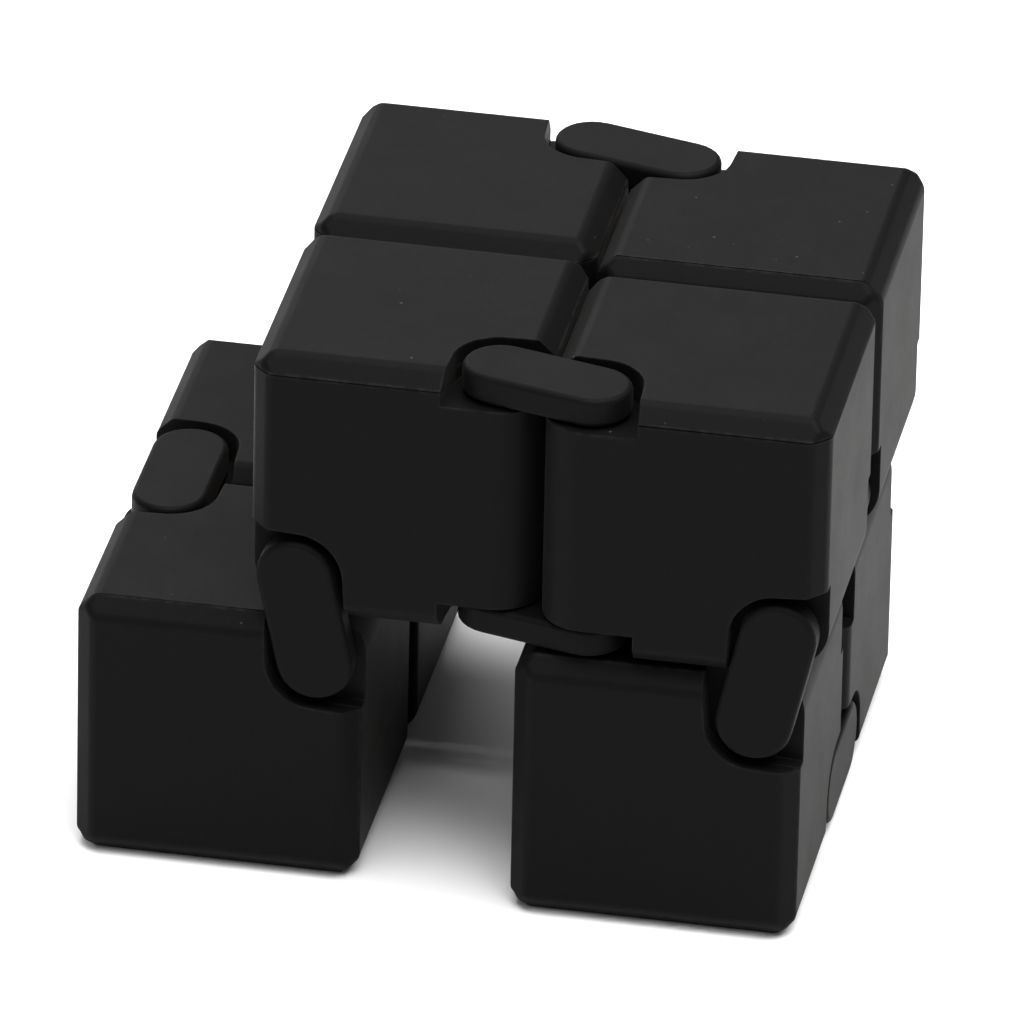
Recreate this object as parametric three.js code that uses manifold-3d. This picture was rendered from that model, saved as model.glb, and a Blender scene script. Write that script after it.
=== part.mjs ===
// Infinity cube: a fidget toy of eight hollow plastic cubes in one closed ring.
// Each cube is a shell with a snap-in lid. Eight hinge links join the cubes. A link is two
// obround plates, one at each end of the hinge line, held by two steel pins that run through
// the cubes. The toy stands half opened: a block of four cubes on top, one pair of cubes below
// its right half, and one pair swung out by a quarter turn below its left half.
// Units are millimetres. +X is right, +Y is back, +Z is up.

import * as THREE from 'three';
import { mergeVertices } from 'three/addons/utils/BufferGeometryUtils.js';
import Module from 'manifold-3d';

// ---- driving dimensions -------------------------------------------------------------------

const CUBE = 20; // edge of one cube
const CHAMFER = 1.25; // 45 degree chamfer on every edge that carries no hinge
const WALL = 1.8; // wall of a hollow cube
const SEAM = 0.06; // glue line between shell and lid
const PLUG = 0.8; // depth of the lid's locating plug
const FIT = 0.15; // clearance around the plug

const PIN_INSET = 3.2; // hinge pin to each of the two nearest cube faces
const PIN_SPACING = 6.9; // between the two pins of a link
const PIN_RADIUS = 0.9;
const BORE_RADIUS = 0.97; // pin bore in a cube, a running fit
const SOCKET_RADIUS = 0.96; // blind pin hole in a plate
const SOCKET_DEPTH = 1.5;
const PIN_END_GAP = 0.05; // pin end to the bottom of its blind hole
const PIN_BEVEL = 0.15;
const BOSS_RADIUS = 2.4; // tube around a bore inside the cube

const PLATE_HALF_WIDTH = 2.67;
const PLATE_THICKNESS = 2.1;
const PLATE_INSET = 0.05; // plate's outer face below the cube's face
const PLATE_BEVEL = 0.25;

const POCKET_RADIUS = 3.4; // rounded corner of a plate's pocket, centred on the pin
const POCKET_FLARE = 0.2; // how much wider a pocket is where it opens
const POCKET_DEPTH = 2.35;
const POCKET_BACKING = 1.2; // wall left behind and beside a pocket

// Every link has play. It leans until friction holds it, and its cubes sit a little off square.
const LEAN_TOP = THREE.MathUtils.degToRad(14); // the two links across the top block
const LEAN_SIDE = THREE.MathUtils.degToRad(12.5); // the four links down to the lower pairs

const ROUND_STEPS = 10; // facets in a quarter circle of a hinge edge or a pocket
const PLATE_STEPS = 14; // facets in a half circle of a plate
const PIN_SIDES = 12;
const BORE_SIDES = 16;
const OVERRUN = 1; // how far a cutting solid sticks out of what it cuts

// ---- solids: conversion and boolean work --------------------------------------------------

const wasm = await Module();
wasm.setup();

function toSolid(geometry) {
  const bare = geometry.clone();
  bare.deleteAttribute('normal');
  bare.deleteAttribute('uv');
  const merged = mergeVertices(bare, 1e-5);
  const positions = merged.attributes.position.array;
  const triangles = [];
  for (let i = 0; i < merged.index.count; i += 3) {
    const [a, b, c] = [0, 1, 2].map((k) => merged.index.getX(i + k));
    if (a !== b && b !== c && c !== a) triangles.push(a, b, c);
  }
  return new wasm.Manifold(
    new wasm.Mesh({
      numProp: 3,
      vertProperties: new Float32Array(positions),
      triVerts: new Uint32Array(triangles),
    }),
  );
}

function toGeometry(solid) {
  const mesh = solid.getMesh();
  const positions = new Float32Array(mesh.numVert * 3);
  for (let i = 0; i < mesh.numVert; i++) {
    for (let k = 0; k < 3; k++) positions[3 * i + k] = mesh.vertProperties[mesh.numProp * i + k];
  }
  const geometry = new THREE.BufferGeometry();
  geometry.setAttribute('position', new THREE.BufferAttribute(positions, 3));
  geometry.setIndex(new THREE.BufferAttribute(new Uint32Array(mesh.triVerts), 1));
  return geometry;
}

// Moves a geometry, and turns its triangles over again where the matrix mirrors it.
function moved(geometry, matrix) {
  const result = (geometry.index ? geometry : mergeVertices(geometry)).clone();
  result.applyMatrix4(matrix);
  if (matrix.determinant() < 0) {
    const index = result.index;
    for (let i = 0; i < index.count; i += 3) {
      const b = index.getX(i + 1);
      index.setX(i + 1, index.getX(i + 2));
      index.setX(i + 2, b);
    }
  }
  return result;
}

function cutAll(solid, cutters) {
  return cutters.reduce((rest, cutter) => rest.subtract(cutter), solid);
}

function boxBetween(low, high) {
  const size = high.map((value, k) => value - low[k]);
  const geometry = new THREE.BoxGeometry(...size);
  geometry.translate(...low.map((value, k) => value + size[k] / 2));
  return toSolid(geometry);
}

// ---- edges of the cube --------------------------------------------------------------------

// An edge runs along one axis. The other two axes, a and b, are counted inward from the two
// faces that meet there. Each side is 0 for the face at the origin and 1 for the far face.
const OTHER_AXES = { x: ['y', 'z'], y: ['x', 'z'], z: ['x', 'y'] };
const UNIT = {
  x: new THREE.Vector3(1, 0, 0),
  y: new THREE.Vector3(0, 1, 0),
  z: new THREE.Vector3(0, 0, 1),
};

function edgeMatrix(edge) {
  const [aAxis, bAxis] = OTHER_AXES[edge.axis];
  const a = UNIT[aAxis].clone().multiplyScalar(edge.a ? -1 : 1);
  const b = UNIT[bAxis].clone().multiplyScalar(edge.b ? -1 : 1);
  const corner = new THREE.Vector3()
    .addScaledVector(UNIT[aAxis], edge.a * CUBE)
    .addScaledVector(UNIT[bAxis], edge.b * CUBE);
  return new THREE.Matrix4().makeBasis(a, b, UNIT[edge.axis]).setPosition(corner);
}

// A prism over an outline in (a, b), between two stations along the edge.
function prismOnEdge(edge, outline, from, to) {
  const shape = new THREE.Shape(outline);
  const prism = new THREE.ExtrudeGeometry(shape, { depth: to - from, bevelEnabled: false });
  prism.translate(0, 0, from);
  return toSolid(moved(prism, edgeMatrix(edge)));
}

function arcPoints(radius, fromAngle, toAngle, steps, centre = PIN_INSET) {
  const points = [];
  for (let i = 0; i <= steps; i++) {
    const angle = fromAngle + ((toAngle - fromAngle) * i) / steps;
    points.push(new THREE.Vector2(centre + radius * Math.cos(angle), centre + radius * Math.sin(angle)));
  }
  return points;
}

function chamferOutline() {
  return [
    new THREE.Vector2(-OVERRUN, -OVERRUN),
    new THREE.Vector2(CHAMFER + OVERRUN, -OVERRUN),
    new THREE.Vector2(-OVERRUN, CHAMFER + OVERRUN),
  ];
}

// What is cut away to round a hinge edge about its own pin.
function roundingOutline() {
  return [
    new THREE.Vector2(-OVERRUN, -OVERRUN),
    new THREE.Vector2(PIN_INSET, -OVERRUN),
    ...arcPoints(PIN_INSET, -Math.PI / 2, -Math.PI, ROUND_STEPS),
    new THREE.Vector2(-OVERRUN, PIN_INSET),
  ];
}

// A pocket is open to both faces beside the hinge edge and rounded about the pin. Its walls
// flare towards those faces, so that a leaning plate clears them.
function pocketOutline() {
  const widening = (POCKET_FLARE * (PIN_INSET + OVERRUN)) / PIN_INSET;
  const mouth = PIN_INSET + POCKET_RADIUS + widening;
  return [
    new THREE.Vector2(-OVERRUN, -OVERRUN),
    new THREE.Vector2(mouth, -OVERRUN),
    ...arcPoints(POCKET_RADIUS, 0, Math.PI / 2, ROUND_STEPS),
    new THREE.Vector2(-OVERRUN, mouth),
  ];
}

function squareOutline(reach) {
  return [
    new THREE.Vector2(-OVERRUN, -OVERRUN),
    new THREE.Vector2(reach, -OVERRUN),
    new THREE.Vector2(reach, reach),
    new THREE.Vector2(-OVERRUN, reach),
  ];
}

function circleOutline(radius, sides) {
  return arcPoints(radius, 0, 2 * Math.PI, sides).slice(0, sides);
}

// ---- one cube: shell and lid --------------------------------------------------------------

// The pattern cube lies in 0..CUBE on each axis. Its lid is the +Z face. One hinge edge is
// upright, at the +X and -Y faces, and crosses the lid. The other lies along Y, at the -X and
// -Z faces.
const UPRIGHT_HINGE = { axis: 'z', a: 1, b: 0 };
const LYING_HINGE = { axis: 'y', a: 0, b: 0 };
const HINGES = [UPRIGHT_HINGE, LYING_HINGE];

const isHinge = (edge) => HINGES.some((h) => h.axis === edge.axis && h.a === edge.a && h.b === edge.b);

function outerCube() {
  const cutters = [];
  for (const axis of ['x', 'y', 'z']) {
    for (const a of [0, 1]) {
      for (const b of [0, 1]) {
        const edge = { axis, a, b };
        const outline = isHinge(edge) ? roundingOutline() : chamferOutline();
        cutters.push(prismOnEdge(edge, outline, -OVERRUN, CUBE + OVERRUN));
      }
    }
  }
  for (const hinge of HINGES) {
    cutters.push(prismOnEdge(hinge, pocketOutline(), -OVERRUN, POCKET_DEPTH));
    cutters.push(prismOnEdge(hinge, pocketOutline(), CUBE - POCKET_DEPTH, CUBE + OVERRUN));
    cutters.push(prismOnEdge(hinge, circleOutline(BORE_RADIUS, BORE_SIDES), -OVERRUN, CUBE + OVERRUN));
  }
  return cutAll(boxBetween([0, 0, 0], [CUBE, CUBE, CUBE]), cutters);
}

function cavity() {
  const reach = PIN_INSET + POCKET_RADIUS + POCKET_BACKING;
  const backing = POCKET_DEPTH + POCKET_BACKING;
  const kept = [];
  for (const hinge of HINGES) {
    kept.push(prismOnEdge(hinge, circleOutline(BOSS_RADIUS, BORE_SIDES), -OVERRUN, CUBE + OVERRUN));
    kept.push(prismOnEdge(hinge, squareOutline(reach), -OVERRUN, backing));
    kept.push(prismOnEdge(hinge, squareOutline(reach), CUBE - backing, CUBE + OVERRUN));
  }
  const hollow = boxBetween([WALL, WALL, WALL], [CUBE - WALL, CUBE - WALL, CUBE + OVERRUN]);
  return cutAll(hollow, kept);
}

function lidPlug() {
  const low = WALL + FIT;
  const high = CUBE - WALL - FIT;
  const floor = CUBE - CHAMFER - PLUG;
  const panel = boxBetween([low, low, floor], [high, high, CUBE - CHAMFER / 2]);
  const notch = PIN_INSET + POCKET_RADIUS + POCKET_BACKING + FIT;
  return panel.subtract(prismOnEdge(UPRIGHT_HINGE, squareOutline(notch), 0, CUBE + OVERRUN));
}

function patternCube() {
  const outer = outerCube();
  const everywhere = [-OVERRUN, CUBE + OVERRUN];
  const slab = (from, to) =>
    boxBetween([everywhere[0], everywhere[0], from], [everywhere[1], everywhere[1], to]);
  const lidFloor = CUBE - CHAMFER;
  const shell = outer.intersect(slab(-OVERRUN, lidFloor - SEAM)).subtract(cavity());
  const lid = outer.intersect(slab(lidFloor, CUBE + OVERRUN)).add(lidPlug());
  const centred = new THREE.Matrix4().makeTranslation(-CUBE / 2, -CUBE / 2, -CUBE / 2);
  return { shell: moved(toGeometry(shell), centred), lid: moved(toGeometry(lid), centred) };
}

// Half of the cubes are mirror images of the pattern.
const PATTERN = patternCube();
const MIRROR_X = new THREE.Matrix4().makeScale(-1, 1, 1);
const MIRRORED = { shell: moved(PATTERN.shell, MIRROR_X), lid: moved(PATTERN.lid, MIRROR_X) };

// ---- one link: plates and pins ------------------------------------------------------------

// A plate lies in the XY plane with its outer face at z = 0 and its pin holes at x = 0 and
// x = PIN_SPACING, open towards +Z.
function plateGeometry() {
  const outline = new THREE.Shape([
    ...arcPoints(PLATE_HALF_WIDTH, Math.PI / 2, (3 * Math.PI) / 2, PLATE_STEPS, 0),
    ...arcPoints(PLATE_HALF_WIDTH, -Math.PI / 2, Math.PI / 2, PLATE_STEPS, 0).map(
      (point) => new THREE.Vector2(point.x + PIN_SPACING, point.y),
    ),
  ]);
  const slab = new THREE.ExtrudeGeometry(outline, {
    depth: PLATE_THICKNESS - 2 * PLATE_BEVEL,
    bevelThickness: PLATE_BEVEL,
    bevelSize: PLATE_BEVEL,
    bevelOffset: -PLATE_BEVEL,
    bevelSegments: 1,
  });
  slab.translate(0, 0, PLATE_BEVEL);
  const sockets = [0, PIN_SPACING].map((x) => {
    const hole = new THREE.CylinderGeometry(
      SOCKET_RADIUS, SOCKET_RADIUS, SOCKET_DEPTH + OVERRUN, BORE_SIDES,
    );
    hole.rotateX(Math.PI / 2);
    hole.translate(x, 0, PLATE_THICKNESS - SOCKET_DEPTH + (SOCKET_DEPTH + OVERRUN) / 2);
    return toSolid(hole);
  });
  return toGeometry(cutAll(toSolid(slab), sockets));
}

const PIN_START = PLATE_INSET + PLATE_THICKNESS - SOCKET_DEPTH + PIN_END_GAP;
const PIN_LENGTH = CUBE - 2 * PIN_START;

// A pin stands on z = 0.
function pinGeometry() {
  const profile = [
    [0, 0],
    [PIN_RADIUS - PIN_BEVEL, 0],
    [PIN_RADIUS, PIN_BEVEL],
    [PIN_RADIUS, PIN_LENGTH - PIN_BEVEL],
    [PIN_RADIUS - PIN_BEVEL, PIN_LENGTH],
    [0, PIN_LENGTH],
  ].map(([x, y]) => new THREE.Vector2(x, y));
  const lathe = new THREE.LatheGeometry(profile, PIN_SIDES);
  lathe.rotateX(Math.PI / 2);
  return toGeometry(toSolid(lathe));
}

const PLATE = plateGeometry();
const PIN = pinGeometry();

// ---- where everything stands --------------------------------------------------------------

// Two cubes joined by a link that leans: the gap between them, and how far one slides.
const gapAt = (lean) => PIN_SPACING * Math.cos(lean) - 2 * PIN_INSET;
const slideAt = (lean) => PIN_SPACING * Math.sin(lean);

const COLUMN_GAP = gapAt(LEAN_TOP); // between the left and right columns of the block
const ROW_GAP = gapAt(0); // between the front and back rows
const LAYER_GAP = gapAt(LEAN_SIDE); // between the block and the pairs under it
const RIGHT_FORWARD = slideAt(LEAN_TOP); // the right column stands this much further forward
const PAIR_INWARD = slideAt(LEAN_SIDE); // each lower pair stands this much further inward

const BLOCK_Z = CUBE + LAYER_GAP;
const RIGHT_X = CUBE + COLUMN_GAP;
const RIGHT_Y = -RIGHT_FORWARD;
const BACK = CUBE + ROW_GAP;
const LEFT_PAIR_X = 2 * PIN_INSET + PAIR_INWARD - CUBE;
const RIGHT_PAIR_X = RIGHT_X - PAIR_INWARD;

// For each cube: the low corner it stands on, and the directions that the pattern cube's
// X, Y and Z axes take. The lid faces the third direction.
const CUBES = [
  { name: 'top_front_left', at: [0, 0, BLOCK_Z], axes: ['+x', '+y', '+z'] },
  { name: 'top_front_right', at: [RIGHT_X, RIGHT_Y, BLOCK_Z], axes: ['-x', '+y', '+z'] },
  { name: 'top_back_right', at: [RIGHT_X, RIGHT_Y + BACK, BLOCK_Z], axes: ['+x', '+z', '-y'] },
  { name: 'top_back_left', at: [0, BACK, BLOCK_Z], axes: ['+x', '-y', '+z'] },
  { name: 'left_pair_front', at: [LEFT_PAIR_X, 0, 0], axes: ['+x', '-z', '-y'] },
  { name: 'left_pair_back', at: [LEFT_PAIR_X, BACK, 0], axes: ['+x', '-z', '+y'] },
  { name: 'right_pair_front', at: [RIGHT_PAIR_X, RIGHT_Y, 0], axes: ['+z', '-x', '-y'] },
  { name: 'right_pair_back', at: [RIGHT_PAIR_X, RIGHT_Y + BACK, 0], axes: ['+z', '-x', '+y'] },
];

// For each link: the hinge axis, its two pins at the low end of the hinge line, the names of
// those pins, and the names of the plates at the low and the high end.
const IN = PIN_INSET;
const LINKS = [
  {
    name: 'top_front_link',
    axis: 'z',
    pins: [[CUBE - IN, IN, BLOCK_Z], [RIGHT_X + IN, RIGHT_Y + IN, BLOCK_Z]],
    pinNames: ['left_pin', 'right_pin'],
    plateNames: ['lower_plate', 'upper_plate'],
  },
  {
    name: 'top_back_link',
    axis: 'z',
    pins: [
      [CUBE - IN, BACK + CUBE - IN, BLOCK_Z],
      [RIGHT_X + IN, RIGHT_Y + BACK + CUBE - IN, BLOCK_Z],
    ],
    pinNames: ['left_pin', 'right_pin'],
    plateNames: ['lower_plate', 'upper_plate'],
  },
  {
    name: 'left_front_link',
    axis: 'y',
    pins: [[IN, 0, BLOCK_Z + IN], [IN + PAIR_INWARD, 0, CUBE - IN]],
    pinNames: ['upper_pin', 'lower_pin'],
    plateNames: ['outer_plate', 'inner_plate'],
  },
  {
    name: 'left_back_link',
    axis: 'y',
    pins: [[IN, BACK, BLOCK_Z + IN], [IN + PAIR_INWARD, BACK, CUBE - IN]],
    pinNames: ['upper_pin', 'lower_pin'],
    plateNames: ['inner_plate', 'outer_plate'],
  },
  {
    name: 'right_front_link',
    axis: 'y',
    pins: [
      [RIGHT_X + CUBE - IN, RIGHT_Y, BLOCK_Z + IN],
      [RIGHT_PAIR_X + CUBE - IN, RIGHT_Y, CUBE - IN],
    ],
    pinNames: ['upper_pin', 'lower_pin'],
    plateNames: ['outer_plate', 'inner_plate'],
  },
  {
    name: 'right_back_link',
    axis: 'y',
    pins: [
      [RIGHT_X + CUBE - IN, RIGHT_Y + BACK, BLOCK_Z + IN],
      [RIGHT_PAIR_X + CUBE - IN, RIGHT_Y + BACK, CUBE - IN],
    ],
    pinNames: ['upper_pin', 'lower_pin'],
    plateNames: ['inner_plate', 'outer_plate'],
  },
  {
    name: 'left_pair_link',
    axis: 'z',
    pins: [[LEFT_PAIR_X + IN, CUBE - IN, 0], [LEFT_PAIR_X + IN, BACK + IN, 0]],
    pinNames: ['front_pin', 'back_pin'],
    plateNames: ['bottom_plate', 'top_plate'],
  },
  {
    name: 'right_pair_link',
    axis: 'x',
    pins: [[RIGHT_PAIR_X, RIGHT_Y + CUBE - IN, IN], [RIGHT_PAIR_X, RIGHT_Y + BACK + IN, IN]],
    pinNames: ['front_pin', 'back_pin'],
    plateNames: ['inner_plate', 'outer_plate'],
  },
];

// ---- materials ----------------------------------------------------------------------------

const blackPlastic = () =>
  new THREE.MeshStandardMaterial({ color: 0x17171a, roughness: 0.62, metalness: 0.0 });
const plateBlack = () =>
  new THREE.MeshStandardMaterial({ color: 0x151518, roughness: 0.55, metalness: 0.0 });
const pinSteel = () =>
  new THREE.MeshStandardMaterial({ color: 0x9a9da1, roughness: 0.35, metalness: 1.0 });

// ---- assembly -----------------------------------------------------------------------------

const object = new THREE.Group();
object.name = 'infinity_cube';
// The origin is under the middle of the toy's box, on the surface it stands on.
object.position.set(
  -(LEFT_PAIR_X + RIGHT_X + CUBE) / 2,
  -(RIGHT_Y + BACK + CUBE) / 2,
  0,
);

function addMesh(name, geometry, material, matrix) {
  const mesh = new THREE.Mesh(geometry, material);
  mesh.name = name;
  matrix.decompose(mesh.position, mesh.quaternion, mesh.scale);
  object.add(mesh);
}

function signedAxis(text) {
  return UNIT[text[1]].clone().multiplyScalar(text[0] === '-' ? -1 : 1);
}

for (const cube of CUBES) {
  const [x, y, z] = cube.axes.map(signedAxis);
  const handed = new THREE.Vector3().crossVectors(x, y).dot(z) > 0;
  const parts = handed ? PATTERN : MIRRORED;
  if (!handed) x.negate();
  const centre = cube.at.map((low) => low + CUBE / 2);
  const matrix = new THREE.Matrix4().makeBasis(x, y, z).setPosition(...centre);
  addMesh(`${cube.name}_shell`, parts.shell, blackPlastic(), matrix);
  addMesh(`${cube.name}_lid`, parts.lid, blackPlastic(), matrix);
}

for (const link of LINKS) {
  const [first, second] = link.pins.map((point) => new THREE.Vector3(...point));
  const axis = UNIT[link.axis];
  const along = new THREE.Vector3().subVectors(second, first).normalize();
  const across = new THREE.Vector3().crossVectors(axis, along);
  const station = (distance) => first.clone().addScaledVector(axis, distance);
  const lowPlate = new THREE.Matrix4().makeBasis(along, across, axis);
  const highPlate = new THREE.Matrix4().makeBasis(along, across.clone().negate(), axis.clone().negate());
  lowPlate.setPosition(station(PLATE_INSET));
  highPlate.setPosition(station(CUBE - PLATE_INSET));
  addMesh(`${link.name}_${link.plateNames[0]}`, PLATE, plateBlack(), lowPlate);
  addMesh(`${link.name}_${link.plateNames[1]}`, PLATE, plateBlack(), highPlate);
  [first, second].forEach((pin, i) => {
    const matrix = new THREE.Matrix4().makeBasis(along, across, axis);
    matrix.setPosition(pin.clone().addScaledVector(axis, PIN_START));
    addMesh(`${link.name}_${link.pinNames[i]}`, PIN, pinSteel(), matrix);
  });
}

export default object;
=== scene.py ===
"""Infinity cube: eight hollow black cubes in one ring, joined by double-pin links.

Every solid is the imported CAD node. It keeps its place and its mesh, and gets rounded edges from
modifiers and a procedural material. Lengths are metres unless a name ends in _MM.
"""

import math

import bpy
from mathutils import Matrix, Vector

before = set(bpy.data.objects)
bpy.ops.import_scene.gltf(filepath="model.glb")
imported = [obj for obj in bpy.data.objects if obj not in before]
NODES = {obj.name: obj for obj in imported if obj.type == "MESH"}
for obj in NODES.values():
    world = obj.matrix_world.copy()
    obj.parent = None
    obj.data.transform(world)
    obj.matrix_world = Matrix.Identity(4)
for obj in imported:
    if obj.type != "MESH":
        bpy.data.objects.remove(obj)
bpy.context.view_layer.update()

MM = 0.001

# ---- camera -------------------------------------------------------------------------------

AIM = Vector((0.000717, -0.000015, 0.019740))
CAMERA_DISTANCE = 1.104273
CAMERA_AZIMUTH = 10.2125
CAMERA_ELEVATION = 28.6188
CAMERA_ROLL = 1.2272
SENSOR_WIDTH_MM = 36.0
LENS_MM = 558.955
NEAR_CLIP = 0.05
FAR_CLIP = 20.0

# ---- edges --------------------------------------------------------------------------------

WELD_DISTANCE = 0.002 * MM
PLANAR_ANGLE = math.radians(1.0)
EDGE_WIDTH = 0.42 * MM  # rounding of the chamfers' own edges
SHARP_SHARE = 0.18  # share of that width on square edges: lid seams and pocket rims
EDGE_SEGMENTS = 4
SOFT_ANGLES = (math.radians(35), math.radians(70))  # angles that get the full width
CONCAVE_ANGLE = math.radians(-35)
PLATE_SHARE = 0.38  # share of the width on a link plate, whose chamfer is narrow
PIN_EDGE_WIDTH = 0.05 * MM

# ---- black plastic ------------------------------------------------------------------------

PLASTIC_DARK = 0.0028
PLASTIC_LIGHT = 0.0040
# Lighter tone on edges: part rubbing wear, part painted highlight where light catches the rounded
# edges.
RUBBED_AND_HIGHLIGHT_TONE = 0.015
RUBBED_AND_HIGHLIGHT_SHARE = 0.6
DUST_COLOUR = (0.42, 0.40, 0.37, 1.0)
DUST_SHARE = 0.16
PATCH_SCALE = 0.22  # noise scales are per millimetre
MOTTLE_SCALE = 1.1
GRAIN_SCALE = 6.5
FINE_GRAIN_SCALE = 16.0
DUST_CELL_SCALE = 0.66
DUST_KEPT_ABOVE = 0.35  # cells whose random number is above this hold a speck
DUST_REACH = (0.035, 0.10)  # radius of a speck, in cells
ROUGHNESS_RANGE = (0.52, 0.58)
GRAIN_DEPTH = 0.02 * MM
GRAIN_STRENGTH = 0.8
EDGE_RADIUS = 0.32 * MM  # how far from an edge the lighter tone reaches: rubbing wear and painted highlight
PLASTIC_IOR = 1.135
SHEEN_WEIGHT = 0.015
SHEEN_ROUGHNESS = 0.4
SHEEN_TINT = (1.0, 0.90, 0.82, 1.0)
SEED_STEP = 11.0

# ---- pin steel ----------------------------------------------------------------------------

STEEL_DARK = 0.42
STEEL_LIGHT = 0.60
STEEL_MARK_SCALE = 9.0
STEEL_MARK_DEPTH = 0.003 * MM
STEEL_MARK_STRENGTH = 0.4
STEEL_ROUGHNESS = (0.24, 0.40)

# ---- studio -------------------------------------------------------------------------------

FLOOR_HALF_SIDE = 3.0
FLOOR_COLOUR = (0.93, 0.93, 0.93, 1.0)
FLOOR_ROUGHNESS = 0.85
FLOOR_SPECULAR = 0.1
WORLD_STRENGTH = 0.2
LIGHTS = (  # name, place, size and radiance
    ("overhead", (0.18, -0.08, 1.0), (1.0, 1.0), 7.4),
    ("front_strip", (0.0, -0.80, 1.0), (0.5, 0.06), 18.0),
    ("front_panel", (-0.9, -1.3, 0.5), (1.2, 0.6), 0.8),
    ("back_panel", (-0.75, 1.5, 0.85), (1.3, 1.0), 3.1),
)


# ---- small node helpers -------------------------------------------------------------------


class Graph:
    """Adds nodes to one node tree and links them."""

    def __init__(self, tree):
        self.tree = tree
        tree.nodes.clear()

    def node(self, kind, *, inputs=None, **settings):
        """A node of that kind. A value in inputs is a constant or another node's output."""
        made = self.tree.nodes.new(kind)
        for key, value in settings.items():
            setattr(made, key, value)
        for key, value in (inputs or {}).items():
            self.put(made, key, value)
        return made

    def put(self, node, key, value):
        socket = node.inputs[key]
        if isinstance(value, bpy.types.NodeSocket):
            self.tree.links.new(value, socket)
        else:
            socket.default_value = value

    def math(self, operation, *values, clamp=False):
        inputs = dict(enumerate(values))
        made = self.node("ShaderNodeMath", operation=operation, use_clamp=clamp, inputs=inputs)
        return made.outputs[0]

    def ramp(self, value, low, high, out_low=0.0, out_high=1.0, smooth=True):
        """Maps low..high to out_low..out_high, clamped."""
        made = self.node(
            "ShaderNodeMapRange",
            interpolation_type="SMOOTHSTEP" if smooth else "LINEAR",
            inputs={
                "Value": value,
                "From Min": low,
                "From Max": high,
                "To Min": out_low,
                "To Max": out_high,
            },
        )
        return made.outputs["Result"]

    def blend(self, share, first, second):
        """Colour first where share is 0 and second where it is 1."""
        made = self.node("ShaderNodeMix", data_type="RGBA")
        self.put(made, 0, share)
        self.put(made, 6, first)
        self.put(made, 7, second)
        return made.outputs[2]

    def noise(self, vector, scale, detail=2.0, roughness=0.5, seed=0.0):
        made = self.node(
            "ShaderNodeTexNoise",
            noise_dimensions="4D",
            inputs={
                "Vector": vector,
                "W": seed,
                "Scale": scale,
                "Detail": detail,
                "Roughness": roughness,
            },
        )
        return made.outputs["Fac"]


def grey(value):
    return (value, value, value, 1.0)


# ---- materials ----------------------------------------------------------------------------


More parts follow.
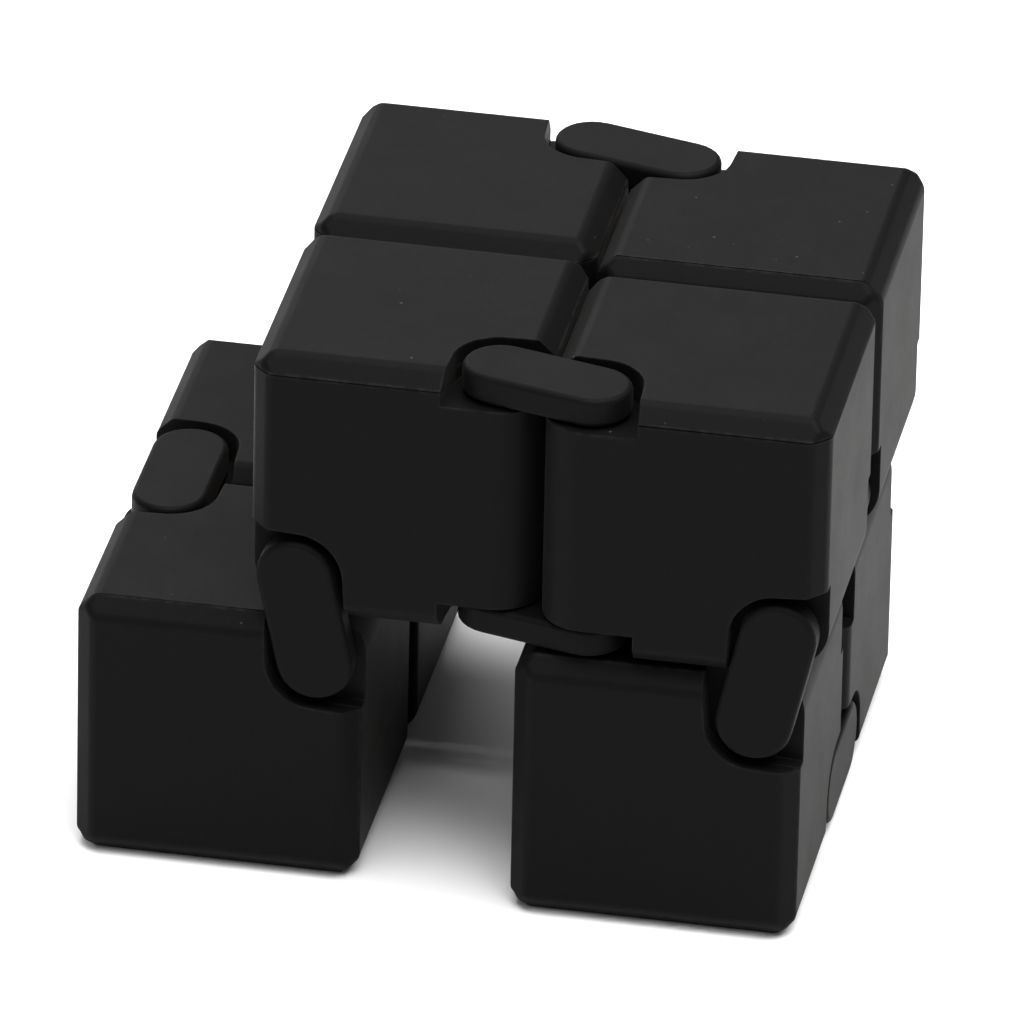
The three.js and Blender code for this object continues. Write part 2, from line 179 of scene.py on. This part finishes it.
def black_plastic(name, seed):
    """Matte black moulded plastic: fine grain, uneven sheen, edges lightened partly by rubbing
    wear and partly by a painted highlight, and a little dust.
    """
    material = bpy.data.materials.new(name)
    material.use_nodes = True
    g = Graph(material.node_tree)
    place = g.node("ShaderNodeTexCoord")
    in_mm = g.node(
        "ShaderNodeVectorMath",
        operation="SCALE",
        inputs={0: place.outputs["Object"], "Scale": 1 / MM},
    ).outputs[0]

    # Patches of slightly different sheen and tone, a few millimetres across.
    patches = g.noise(in_mm, PATCH_SCALE, 3.0, 0.55, seed)
    mottle = g.noise(in_mm, MOTTLE_SCALE, 3.0, 0.6, seed + 3.1)
    grain = g.noise(in_mm, GRAIN_SCALE, 2.0, 0.6, seed + 7.7)

    # Edges: where the normal averaged over a short distance differs from the surface's own.
    rounded = g.node("ShaderNodeBevel", samples=6, inputs={"Radius": EDGE_RADIUS})
    surface = g.node("ShaderNodeNewGeometry")
    alike = g.node(
        "ShaderNodeVectorMath",
        operation="DOT_PRODUCT",
        inputs={0: rounded.outputs["Normal"], 1: surface.outputs["Normal"]},
    ).outputs["Value"]
    edge = g.ramp(g.math("SUBTRACT", 1.0, alike), 0.004, 0.06)
    # Lighter edges, patchy along their length: part rubbing wear, part painted highlight standing
    # in for light on the rounded edges.
    rubbed_and_highlight = g.math("MULTIPLY", edge, g.ramp(mottle, 0.38, 0.62))

    # Dust: scattered specks that lie on what faces up.
    shifted = g.node(
        "ShaderNodeVectorMath",
        operation="ADD",
        inputs={0: in_mm, 1: (seed, 2 * seed, 3 * seed)},
    ).outputs[0]
    cells = g.node(
        "ShaderNodeTexVoronoi",
        voronoi_dimensions="3D",
        inputs={"Vector": shifted, "Scale": DUST_CELL_SCALE},
    )
    pick = g.node("ShaderNodeSeparateColor", inputs={0: cells.outputs["Color"]})
    chosen = g.math("GREATER_THAN", pick.outputs[0], DUST_KEPT_ABOVE)
    reach = g.ramp(pick.outputs[1], 0.0, 1.0, *DUST_REACH, smooth=False)
    inside = g.ramp(g.math("DIVIDE", cells.outputs["Distance"], reach), 0.4, 1.0, 1.0, 0.0)
    facing = g.node("ShaderNodeSeparateXYZ", inputs={0: place.outputs["Normal"]})
    upward = g.ramp(facing.outputs["Z"], 0.25, 0.85)
    specks = g.math("MULTIPLY", g.math("MULTIPLY", inside, chosen), upward)
    dust = g.math("MULTIPLY", specks, pick.outputs[2])

    tone = g.blend(patches, grey(PLASTIC_DARK), grey(PLASTIC_LIGHT))
    # Edges get a lighter colour: rubbing wear plus a painted highlight.
    tone = g.blend(g.math("MULTIPLY", rubbed_and_highlight, RUBBED_AND_HIGHLIGHT_SHARE), tone, grey(RUBBED_AND_HIGHLIGHT_TONE))
    tone = g.blend(g.math("MULTIPLY", dust, DUST_SHARE), tone, DUST_COLOUR)

    uneven = g.math("ADD", patches, g.math("MULTIPLY", mottle, 0.5))
    rough = g.ramp(uneven, 0.4, 1.1, *ROUGHNESS_RANGE)
    rough = g.math("SUBTRACT", rough, g.math("MULTIPLY", rubbed_and_highlight, 0.02))
    rough = g.math("ADD", rough, g.math("MULTIPLY", dust, 0.3), clamp=True)

    fine = g.noise(in_mm, FINE_GRAIN_SCALE, 1.0, 0.5, seed + 1.3)
    height = g.math("ADD", grain, g.math("MULTIPLY", fine, 0.5))
    height = g.math("ADD", height, g.math("MULTIPLY", dust, 2.0))
    bump = g.node(
        "ShaderNodeBump",
        inputs={"Strength": GRAIN_STRENGTH, "Distance": GRAIN_DEPTH, "Height": height},
    )

    shader = g.node(
        "ShaderNodeBsdfPrincipled",
        inputs={
            "Base Color": tone,
            "Roughness": rough,
            "IOR": PLASTIC_IOR,
            "Sheen Weight": SHEEN_WEIGHT,
            "Sheen Roughness": SHEEN_ROUGHNESS,
            "Sheen Tint": SHEEN_TINT,
            "Normal": bump.outputs["Normal"],
        },
    )
    g.node("ShaderNodeOutputMaterial", inputs={"Surface": shader.outputs["BSDF"]})
    return material


def pin_steel(name):
    """Bright steel with fine uneven marks."""
    material = bpy.data.materials.new(name)
    material.use_nodes = True
    g = Graph(material.node_tree)
    place = g.node("ShaderNodeTexCoord")
    in_mm = g.node(
        "ShaderNodeVectorMath",
        operation="SCALE",
        inputs={0: place.outputs["Object"], "Scale": 1 / MM},
    ).outputs[0]
    marks = g.noise(in_mm, STEEL_MARK_SCALE, 3.0, 0.7, 2.0)
    tone = g.blend(marks, grey(STEEL_DARK), grey(STEEL_LIGHT))
    rough = g.ramp(marks, 0.3, 0.7, *STEEL_ROUGHNESS)
    bump = g.node(
        "ShaderNodeBump",
        inputs={
            "Strength": STEEL_MARK_STRENGTH,
            "Distance": STEEL_MARK_DEPTH,
            "Height": marks,
        },
    )
    shader = g.node(
        "ShaderNodeBsdfPrincipled",
        inputs={
            "Base Color": tone,
            "Metallic": 1.0,
            "Roughness": rough,
            "Normal": bump.outputs["Normal"],
        },
    )
    g.node("ShaderNodeOutputMaterial", inputs={"Surface": shader.outputs["BSDF"]})
    return material


def floor_paper():
    """Plain white matte paper."""
    material = bpy.data.materials.new("studio_paper")
    material.use_nodes = True
    shader = material.node_tree.nodes["Principled BSDF"]
    shader.inputs["Base Color"].default_value = FLOOR_COLOUR
    shader.inputs["Roughness"].default_value = FLOOR_ROUGHNESS
    shader.inputs["Specular IOR Level"].default_value = FLOOR_SPECULAR
    return material


# ---- rounded edges ------------------------------------------------------------------------


def edge_weights():
    """Node group that shades a mesh smooth and gives each edge the share of rounding it gets."""
    tree = bpy.data.node_groups.new("edge_weights", "GeometryNodeTree")
    tree.interface.new_socket("Geometry", in_out="INPUT", socket_type="NodeSocketGeometry")
    tree.interface.new_socket("Geometry", in_out="OUTPUT", socket_type="NodeSocketGeometry")
    g = Graph(tree)
    start = g.node("NodeGroupInput")
    angle = g.node("GeometryNodeInputMeshEdgeAngle").outputs["Signed Angle"]
    convex = g.math("GREATER_THAN", angle, SOFT_ANGLES[0])
    square = g.math("GREATER_THAN", angle, SOFT_ANGLES[1])
    hollow = g.math("LESS_THAN", angle, CONCAVE_ANGLE)
    full = g.math("SUBTRACT", convex, square)
    some = g.math("MULTIPLY", g.math("ADD", square, hollow), SHARP_SHARE)
    weight = g.math("ADD", full, some)
    stored = g.node(
        "GeometryNodeStoreNamedAttribute",
        data_type="FLOAT",
        domain="EDGE",
        inputs={
            "Geometry": start.outputs[0],
            "Name": "bevel_weight_edge",
            "Value": weight,
        },
    )
    smooth = g.node("GeometryNodeSetShadeSmooth", inputs={"Geometry": stored.outputs[0]})
    g.node("NodeGroupOutput", inputs={0: smooth.outputs[0]})
    return tree


def round_edges(node, weights, width):
    """Adds the modifiers that clean up a CAD mesh and round its edges."""
    weld = node.modifiers.new("weld", "WELD")
    weld.merge_threshold = WELD_DISTANCE
    flat = node.modifiers.new("flat", "DECIMATE")
    flat.decimate_type = "DISSOLVE"
    flat.angle_limit = PLANAR_ANGLE
    shares = node.modifiers.new("shares", "NODES")
    shares.node_group = weights
    bevel = node.modifiers.new("round", "BEVEL")
    bevel.limit_method = "WEIGHT"
    bevel.width = width
    bevel.segments = EDGE_SEGMENTS
    bevel.use_clamp_overlap = False
    bevel.miter_outer = "MITER_ARC"
    normals = node.modifiers.new("normals", "WEIGHTED_NORMAL")
    normals.keep_sharp = False


def dress_pieces():
    """Rounds every solid's edges and gives it its material."""
    weights = edge_weights()
    plastics = {}
    steel = pin_steel("pin_steel_brushed")
    for name, node in sorted(NODES.items()):
        if name.endswith("_pin"):
            node.material_slots[0].material = steel
            round_edges(node, weights, PIN_EDGE_WIDTH)
            continue
        plate = name.endswith("_plate")
        group = name.rsplit("_", 2)[0] if plate else name.rsplit("_", 1)[0]
        if group not in plastics:
            seed = SEED_STEP * (len(plastics) + 1)
            plastics[group] = black_plastic("plastic_" + group, seed)
        node.material_slots[0].material = plastics[group]
        round_edges(node, weights, EDGE_WIDTH * (PLATE_SHARE if plate else 1.0))


# ---- studio -------------------------------------------------------------------------------


def make_floor():
    """One flat square that the object stands on."""
    side = FLOOR_HALF_SIDE
    mesh = bpy.data.meshes.new("floor")
    corners = [(x * side, y * side, 0.0) for x, y in ((-1, -1), (1, -1), (1, 1), (-1, 1))]
    mesh.from_pydata(corners, [], [(0, 1, 2, 3)])
    mesh.materials.append(floor_paper())
    floor = bpy.data.objects.new("floor", mesh)
    bpy.context.scene.collection.objects.link(floor)


def make_light(name, place, size, radiance):
    """A soft rectangular light at that place, turned towards the object."""
    data = bpy.data.lights.new(name, "AREA")
    data.shape = "RECTANGLE"
    data.size, data.size_y = size
    data.energy = radiance * math.pi * size[0] * size[1]
    light = bpy.data.objects.new(name, data)
    light.location = place
    light.rotation_mode = "QUATERNION"
    light.rotation_quaternion = (AIM - Vector(place)).to_track_quat("-Z", "Y")
    light.visible_camera = False
    bpy.context.scene.collection.objects.link(light)


def make_studio():
    """A dim white room and the lights."""
    world = bpy.data.worlds.new("studio")
    world.use_nodes = True
    background = world.node_tree.nodes["Background"]
    background.inputs["Color"].default_value = (1.0, 1.0, 1.0, 1.0)
    background.inputs["Strength"].default_value = WORLD_STRENGTH
    bpy.context.scene.world = world
    for name, place, size, radiance in LIGHTS:
        make_light(name, place, size, radiance)


def make_camera():
    """A long lens above and to the right of the front, turned to the object's middle."""
    azimuth = math.radians(CAMERA_AZIMUTH)
    elevation = math.radians(CAMERA_ELEVATION)
    back = Vector(
        (
            math.sin(azimuth) * math.cos(elevation),
            -math.cos(azimuth) * math.cos(elevation),
            math.sin(elevation),
        )
    )
    turn = (-back).to_track_quat("-Z", "Y").to_matrix().to_4x4()
    data = bpy.data.cameras.new("camera")
    data.sensor_width = SENSOR_WIDTH_MM
    data.lens = LENS_MM
    data.clip_start = NEAR_CLIP
    data.clip_end = FAR_CLIP
    camera = bpy.data.objects.new("camera", data)
    roll = Matrix.Rotation(math.radians(CAMERA_ROLL), 4, "Z")
    camera.matrix_world = Matrix.Translation(AIM + back * CAMERA_DISTANCE) @ turn @ roll
    bpy.context.scene.collection.objects.link(camera)
    bpy.context.scene.camera = camera


bpy.context.scene.view_settings.view_transform = "Standard"
make_camera()
make_floor()
make_studio()
dress_pieces()
